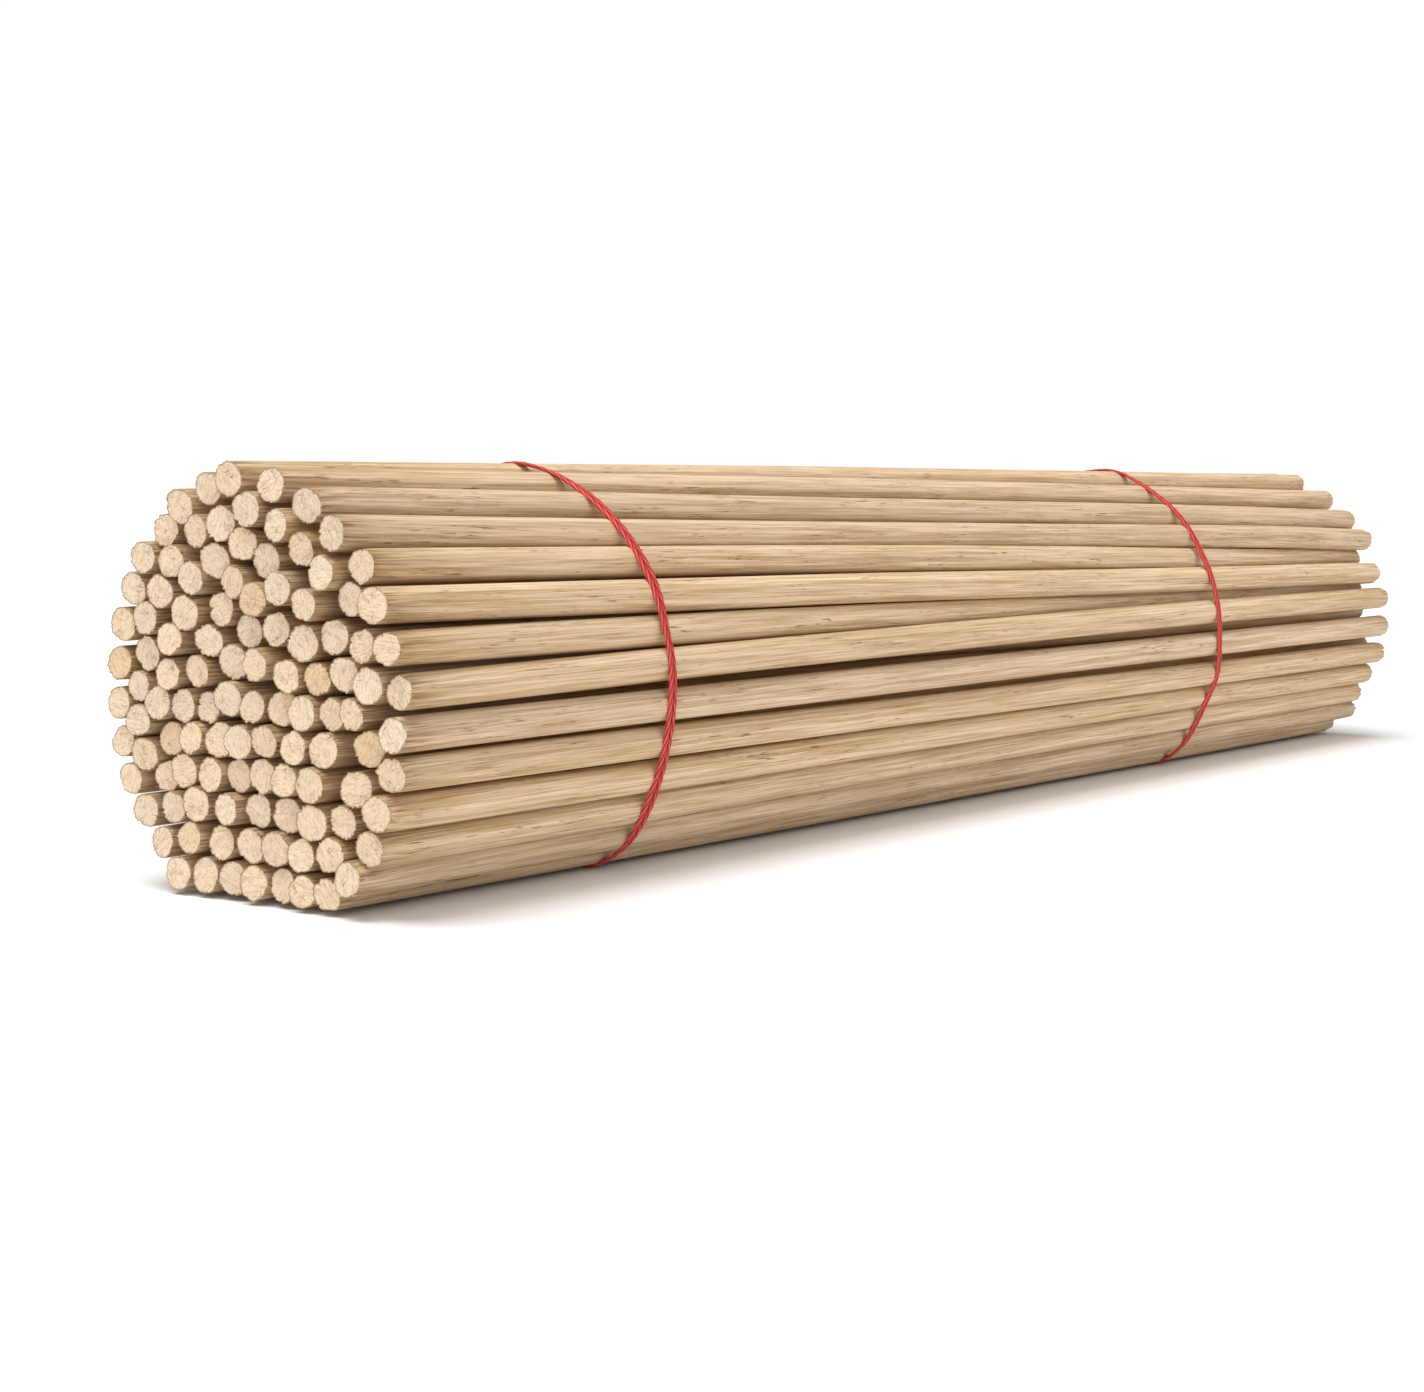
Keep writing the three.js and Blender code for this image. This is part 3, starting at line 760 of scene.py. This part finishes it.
# %% The peeled sides
SIDE_LIGHT = (0.830, 0.655, 0.465)
SIDE_DARK = (0.430, 0.264, 0.118)
SIDE_PORE = (0.190, 0.100, 0.045)
# Painted shade: the colour that multiplies the sides deep in the bundle.
PAINTED_GAP_SHADE = (0.68, 0.54, 0.36)
SIDE_STREAKS, SIDE_BANDS, SIDE_NEAR_CUT = 0.66, 0.26, 0.28
DASH_STRENGTH, SPLIT_STRENGTH = 0.8, 0.8
SPLIT_HEIGHT = 1.2
SIDE_ROUGHNESS = (0.52, 0.72)
SIDE_BUMP = 0.08 * MM


def side_material():
    """Light wood with darker streaks, sparse dark dashes, darker splits near each cut, and painted
    shade that darkens the sides deep inside the bundle.
    """
    material, tree, shader = new_material("peeled wood", 0.62, 0.28)
    places = attribute(tree, "grain", "Vector")
    streaks = placed(tree, streaks_shared, Finer=1.0)
    join(tree, [(places, streaks.inputs["Places"])])
    near_cut = attribute(tree, "near_cut", "Fac")
    fine = maths(tree, "MULTIPLY", streaks.outputs["Streaks"], SIDE_STREAKS)
    broad = maths(tree, "MULTIPLY", streaks.outputs["Bands"], SIDE_BANDS)
    amount = maths(tree, "ADD", fine, broad, clamp=True)
    browner = maths(tree, "MULTIPLY", near_cut, SIDE_NEAR_CUT)
    amount = maths(tree, "ADD", amount, browner, clamp=True)
    colour = mixed(tree, amount, SIDE_LIGHT, SIDE_DARK)
    dashes = maths(tree, "MULTIPLY", streaks.outputs["Dashes"], DASH_STRENGTH)
    colour = mixed(tree, dashes, colour, SIDE_PORE)
    split = stretched_noise(tree, places, **NOISE["split"])
    split = maths(tree, "MULTIPLY", spread_range(tree, split, *SPREAD["split"]), near_cut)
    colour = mixed(tree, maths(tree, "MULTIPLY", split, SPLIT_STRENGTH), colour, SIDE_PORE)
    # Painted shade: the sides deep in the bundle are multiplied towards a darker brown by the
    # inside value.
    colour = mixed(tree, attribute(tree, "inside", "Fac"), colour, PAINTED_GAP_SHADE, "MULTIPLY")
    tone = placed(tree, tone_shared)
    join(tree, [(colour, tone.inputs["Color"]),
                (attribute(tree, "tone", "Vector"), tone.inputs["Tone"]),
                (tone.outputs["Color"], shader.inputs["Base Color"])])
    rough = spread_range(tree, streaks.outputs["Streaks"], 0, 1, *SIDE_ROUGHNESS)
    height = maths(tree, "MULTIPLY", split, SPLIT_HEIGHT)
    height = maths(tree, "SUBTRACT", streaks.outputs["Height"], height)
    join(tree, [(rough, shader.inputs["Roughness"])])
    bumped(tree, shader, height, SIDE_BUMP)
    return material


# %% The cut ends
END_LIGHT = (0.875, 0.710, 0.525)
END_DARK = (0.580, 0.410, 0.255)
END_LINE = (0.270, 0.155, 0.075)
END_SPECKS, END_HATCH = 0.6, 0.5
SCRATCH_STRENGTH = 0.8
SCRATCH_RISE, SCRATCH_FALL = (0.49, 0.505, 0.0, 1.0), (0.505, 0.52, 1.0, 0.0)
ORANGE_TINT = (0.88, 0.70, 0.52)
ORANGE_FROM, ORANGE_FULL, ORANGE_STRENGTH = 0.94, 0.97, 0.4
# The rim line: partly the cut's own brown edge, partly painted shade between neighbouring ends.
RIM_FROM, RIM_FULL, RIM_STRENGTH = 0.98, 1.06, 0.75
RIM_SPECKS = 0.16
SPECK_HEIGHT, LINE_HEIGHT = 0.6, 0.5
END_BUMP = 0.2 * MM


def end_material():
    """Pale end grain with specks, hatching and a few thin scratches, which lie in a direction of
    their own on each stick. A thin brown line follows the rim, broken by the specks: partly the
    cut's own darker edge and partly painted shade that outlines each end against its neighbours.
    About one end in twenty is more orange."""
    material, tree, shader = new_material("cut wood", 0.85, 0.15)
    places = attribute(tree, "grain", "Vector")
    tone = attribute(tree, "tone", "Vector")
    specks = stretched_noise(tree, places, **NOISE["specks"])
    blotch = stretched_noise(tree, places, **NOISE["blotch"])
    parts = tree.nodes.new("ShaderNodeSeparateXYZ")
    turned = tree.nodes.new("ShaderNodeVectorRotate")
    turned.rotation_type = "X_AXIS"
    join(tree, [(tone, parts.inputs[0]), (places, turned.inputs["Vector"]),
                (maths(tree, "MULTIPLY", parts.outputs[0], 2 * math.pi), turned.inputs["Angle"])])
    hatch = stretched_noise(tree, turned.outputs[0], **NOISE["hatch"])
    scratch = stretched_noise(tree, turned.outputs[0], **NOISE["scratch"])
    line = spread_range(tree, scratch, *SCRATCH_RISE)
    line = maths(tree, "MULTIPLY", line, spread_range(tree, scratch, *SCRATCH_FALL))
    line = maths(tree, "MULTIPLY", line, spread_range(tree, blotch, *SPREAD["blotch"]))
    darker = maths(tree, "MULTIPLY", spread_range(tree, specks, *SPREAD["specks"]), END_SPECKS)
    hatched = maths(tree, "MULTIPLY", spread_range(tree, hatch, *SPREAD["hatch"]), END_HATCH)
    colour = mixed(tree, maths(tree, "ADD", darker, hatched, clamp=True), END_LIGHT, END_DARK)
    colour = mixed(tree, maths(tree, "MULTIPLY", line, SCRATCH_STRENGTH), colour, END_LINE)
    orange = spread_range(tree, parts.outputs[2], ORANGE_FROM, ORANGE_FULL, 0.0, ORANGE_STRENGTH)
    colour = mixed(tree, orange, colour, ORANGE_TINT, "MULTIPLY")
    broken = maths(tree, "MULTIPLY", specks, RIM_SPECKS)
    rim = maths(tree, "ADD", attribute(tree, "rim", "Fac"), broken)
    # Partly the cut's own brown edge and partly painted shade that outlines each end.
    rim_line_and_shade = spread_range(tree, rim, RIM_FROM, RIM_FULL, 0.0, RIM_STRENGTH)
    colour = mixed(tree, rim_line_and_shade, colour, END_LINE)
    shift = placed(tree, tone_shared)
    join(tree, [(colour, shift.inputs["Color"]), (tone, shift.inputs["Tone"]),
                (shift.outputs["Color"], shader.inputs["Base Color"])])
    height = maths(tree, "MULTIPLY", specks, -SPECK_HEIGHT)
    height = maths(tree, "SUBTRACT", height, maths(tree, "MULTIPLY", line, LINE_HEIGHT))
    height = maths(tree, "SUBTRACT", height, maths(tree, "MULTIPLY", hatch, LINE_HEIGHT))
    bumped(tree, shader, height, END_BUMP)
    return material


peeled_wood = side_material()
cut_wood = end_material()
for material in (peeled_wood, cut_wood):
    print(material.name, "nodes:", len(material.node_tree.nodes))

# %% [markdown]
# ## The sticks
# Each stick that shows on the outside or just under it is a piece of its own. Those inside the
# bundle show only their ends, so their surfaces are joined into a few pieces, by height.

# %% Sticks with a node of their own
SEED = 4711
INNER_SEED = SEED + 1000
BAND_SEED = SEED + 2000

triangles_made = 0
for number, stick in enumerate(own_sticks):
    rng = np.random.default_rng(SEED + number)
    points, quads, triangles, cut, values = stick_arrays(stick, rng, SIDE_STEP)
    new_piece("wood_" + stick["name"], points, quads, triangles, cut, values,
              [peeled_wood, cut_wood], [stick["name"]])
    triangles_made += 2 * len(quads) + len(triangles)
print("triangles in the sticks with a node of their own:", triangles_made)

# %% Sticks inside the bundle
SHELVES = ("lower", "middle", "upper")

inner_sticks.sort(key=lambda stick: stick["knots"][0, 2])
for shelf, numbers in zip(SHELVES, np.array_split(np.arange(len(inner_sticks)), len(SHELVES))):
    parts, first = [], 0
    for number in numbers:
        rng = np.random.default_rng(INNER_SEED + int(number))
        part = stick_arrays(inner_sticks[number], rng, INNER_SIDE_STEP, first)
        first += len(part[0])
        parts.append(part)
    joined = [np.concatenate(arrays) for arrays in list(zip(*parts))[:4]]
    points, quads, triangles, cut = joined
    kept = [part[4] for part in parts]
    values = {key: np.concatenate([part[key] for part in kept]) for key in kept[0]}
    new_piece(f"wood_inner_sticks_{shelf}", points, quads, triangles, cut, values,
              [peeled_wood, cut_wood], ["inner_sticks"])
    print("inner sticks,", shelf, "triangles:", 2 * len(quads) + len(triangles))

# %% [markdown]
# ## The red bands
# Each band is a loop that goes round twice, so two strands lie side by side. A strand is
# slightly flat and looks twisted, with ridges that wind round it, and the pair rolls a little
# as it goes, so that now one strand and now the other rides higher. The path is read from the
# frame: the foremost corners of a band's solid lie halfway through its thickness.

# %% The path of a band
BAND_STEP = 0.3 * MM
BAND_SOFTENED = 9
FRONT_DEPTH = 0.01 * MM


def band_path(name):
    """The closed line round the sticks, resampled at even steps and softened, with the outward
    direction and the distance along it at each point."""
    points = corners_of(name)[0]
    front = points[points[:, 0] < points[:, 0].min() + FRONT_DEPTH]
    middle = front[:, 1:].mean(axis=0)
    turn = np.arctan2(front[:, 2] - middle[1], front[:, 1] - middle[0])
    loop = front[np.argsort(turn), 1:]
    loop = np.vstack([loop, loop[:1]])
    distance = np.concatenate([[0], np.cumsum(np.linalg.norm(np.diff(loop, axis=0), axis=1))])
    count = int(distance[-1] / BAND_STEP)
    along = np.arange(count) * distance[-1] / count
    line = np.stack([np.interp(along, distance, loop[:, n]) for n in (0, 1)], axis=1)
    shifts = range(-BAND_SOFTENED, BAND_SOFTENED + 1)
    line = np.mean([np.roll(line, shift, axis=0) for shift in shifts], axis=0)
    forward = np.roll(line, -1, axis=0) - np.roll(line, 1, axis=0)
    forward /= np.linalg.norm(forward, axis=1)[:, None]
    outward = np.stack([forward[:, 1], -forward[:, 0]], axis=1)
    x = (points[:, 0].min() + points[:, 0].max()) / 2
    return x, line, outward, along, distance[-1]


# %% A strand
STRAND_POINTS = 22
STRAND_HALF_WIDTH = 0.425 * MM
STRAND_HALF_HEIGHT = 0.27 * MM
STRAND_SINK = 0.045 * MM
WIDTH_KEPT, HEIGHT_KEPT, PAIR_KEPT = 0.94, 0.93, 0.97
ROLL = math.radians(14)
ROLL_WAVES, ROLL_SHARE = (5, 11), 0.6
RIDGES = 4
WINDINGS = 97
RIDGE_HEIGHT = 0.1
WANDER_SHARE, WANDER_WINDINGS, WANDER_SWING, WANDER_WAVES = 0.35, 2.1, 3, 9
GROUND_REACH = 0.8 * MM
GROUND_LIFT = 0.095 * MM
strand_angle = np.arange(STRAND_POINTS) * 2 * math.pi / STRAND_POINTS


def strand_grid(x, line, outward, turn, side, phases):
    """A flat oval carried along the band's path, beside the path by half its width. The pair's
    roll is a slow wave that fades out where the band lies on the ground. Ridges wind round the
    strand a whole number of times in all. Returns the grid and how near a crest each point is."""
    low = np.exp(-(((line[:, 1] - line[:, 1].min()) / GROUND_REACH) ** 2))
    slow, quick = [np.sin(count * turn + phase) for count, phase in zip(ROLL_WAVES, phases)]
    roll = ROLL * (slow + ROLL_SHARE * quick) / (1 + ROLL_SHARE) * (1 - low)
    beside = side * STRAND_HALF_WIDTH * PAIR_KEPT * np.cos(roll)
    lift = side * STRAND_HALF_WIDTH * np.sin(roll) - STRAND_SINK + low * GROUND_LIFT
    wind = WINDINGS * turn[:, None] * side + RIDGES * strand_angle[None]
    crest = np.cos(wind + phases[2])
    swing = WANDER_SWING * np.sin(WANDER_WAVES * turn)[:, None]
    wander = np.cos(WANDER_WINDINGS * wind + swing)
    ridge = 1 + RIDGE_HEIGHT * (crest + WANDER_SHARE * wander)
    across = STRAND_HALF_WIDTH * np.cos(strand_angle)[None] * ridge * WIDTH_KEPT
    above = STRAND_HALF_HEIGHT * np.sin(strand_angle)[None] * ridge * HEIGHT_KEPT
    grid = np.empty((len(line), STRAND_POINTS, 3))
    cos_roll, sin_roll = np.cos(roll)[:, None], np.sin(roll)[:, None]
    grid[..., 0] = x + beside[:, None] + across * cos_roll - above * sin_roll
    height = lift[:, None] + across * sin_roll + above * cos_roll
    grid[..., 1:] = line[:, None] + outward[:, None] * height[..., None]
    return grid, crest


def closed_faces(rows, first):
    """The faces of a strand's grid and those that join its last ring to its first."""
    ring = np.arange(STRAND_POINTS)
    after = (ring + 1) % STRAND_POINTS
    last = (rows - 1) * STRAND_POINTS
    closing = np.stack([last + ring, last + after, after, ring], axis=1)
    return first + np.concatenate([grid_faces(rows, STRAND_POINTS), closing])


# %% Red elastic
RED_LIGHT = (0.680, 0.075, 0.058)
RED_DARK = (0.380, 0.022, 0.020)
# Painted highlight: the paler red on the ridge crests.
RED_CREST_HIGHLIGHT = (0.850, 0.230, 0.180)
# Painted shade: the near-black red in the crease between the two strands.
RED_SEAM_SHADE = (0.160, 0.008, 0.010)
RED_STREAKS = 0.6
RED_FINER = 1.6
# Painted shade in the grooves between ridges and painted highlight on their crests.
VALLEY_RANGE = (0.35, -0.5, 0.0, 0.8)
CREST_RANGE = (0.3, 1.0, 0.0, 0.55)
# Painted shade where each strand faces the other.
SEAM_RANGE = (0.55, 0.95, 0.0, 0.9)
RED_ROUGHNESS = (0.42, 0.62)
RED_BUMP = 0.05 * MM
RED_BUMP_STRENGTH = 0.8


def band_material():
    """Red with darker lines between fibres, painted shade in the grooves between ridges, painted
    highlights on the crests and painted shade in the crease between the two strands.
    """
    material, tree, shader = new_material("red elastic", 0.6, 0.2)
    places = attribute(tree, "grain", "Vector")
    streaks = placed(tree, streaks_shared, Finer=RED_FINER)
    crest = attribute(tree, "crest", "Fac")
    join(tree, [(places, streaks.inputs["Places"])])
    fibres = maths(tree, "MULTIPLY", streaks.outputs["Streaks"], RED_STREAKS)
    colour = mixed(tree, fibres, RED_LIGHT, RED_DARK)
    # Painted shade in the grooves between ridges, then painted highlights on the crests.
    colour = mixed(tree, spread_range(tree, crest, *VALLEY_RANGE), colour, RED_DARK)
    colour = mixed(tree, spread_range(tree, crest, *CREST_RANGE), colour, RED_CREST_HIGHLIGHT)
    # Painted shade in the crease where each strand faces the other.
    seam = attribute(tree, "seam", "Fac")
    colour = mixed(tree, spread_range(tree, seam, *SEAM_RANGE), colour, RED_SEAM_SHADE)
    rough = spread_range(tree, streaks.outputs["Streaks"], 0, 1, *RED_ROUGHNESS)
    join(tree, [(colour, shader.inputs["Base Color"]), (rough, shader.inputs["Roughness"])])
    bumped(tree, shader, streaks.outputs["Height"], RED_BUMP, RED_BUMP_STRENGTH)
    return material


red_elastic = band_material()
print(red_elastic.name, "nodes:", len(red_elastic.node_tree.nodes))

# %% Both bands
GRAIN_STEP = 2 * MM
SECOND_PHASE = 2

for number, name in enumerate(("near_band", "far_band")):
    rng = np.random.default_rng(BAND_SEED + number)
    x, line, outward, along, length = band_path(name)
    turn = 2 * math.pi * along / length
    parts, quads, first = {"points": [], "grain": [], "crest": [], "seam": []}, [], 0
    for side in (-1, 1):
        phases = rng.uniform(0, 6, 3)
        if side > 0:
            phases[2] += SECOND_PHASE
        grid, crest = strand_grid(x, line, outward, turn, side, phases)
        wound = strand_angle[None] + WINDINGS / RIDGES * side * turn[:, None]
        wound_places = [np.repeat(along, STRAND_POINTS),
                        (STRAND_HALF_WIDTH * np.cos(wound)).ravel() + side * GRAIN_STEP,
                        (STRAND_HALF_WIDTH * np.sin(wound)).ravel()]
        parts["points"].append(grid.reshape(-1, 3))
        parts["grain"].append(np.stack(wound_places, axis=1))
        parts["crest"].append(crest.ravel())
        # How much each point faces the other strand, for the painted shade in the crease.
        parts["seam"].append(np.tile(-side * np.cos(strand_angle), len(grid)))
        quads.append(closed_faces(len(grid), first))
        first += len(grid) * STRAND_POINTS
    values = {key: np.concatenate(arrays) for key, arrays in parts.items()}
    points, quads = values.pop("points"), np.concatenate(quads)
    no_triangles, no_cut = np.empty((0, 3), int), np.zeros(len(quads), int)
    new_piece("elastic_" + name, points, quads, no_triangles, no_cut, values,
              [red_elastic], [name])
    print(name, "length of one turn in mm:", round(length / MM, 1), "triangles:", 2 * len(quads))

# %% Size of the frame's box
print("frame's box:", [list(corner) for corner in cad_box])
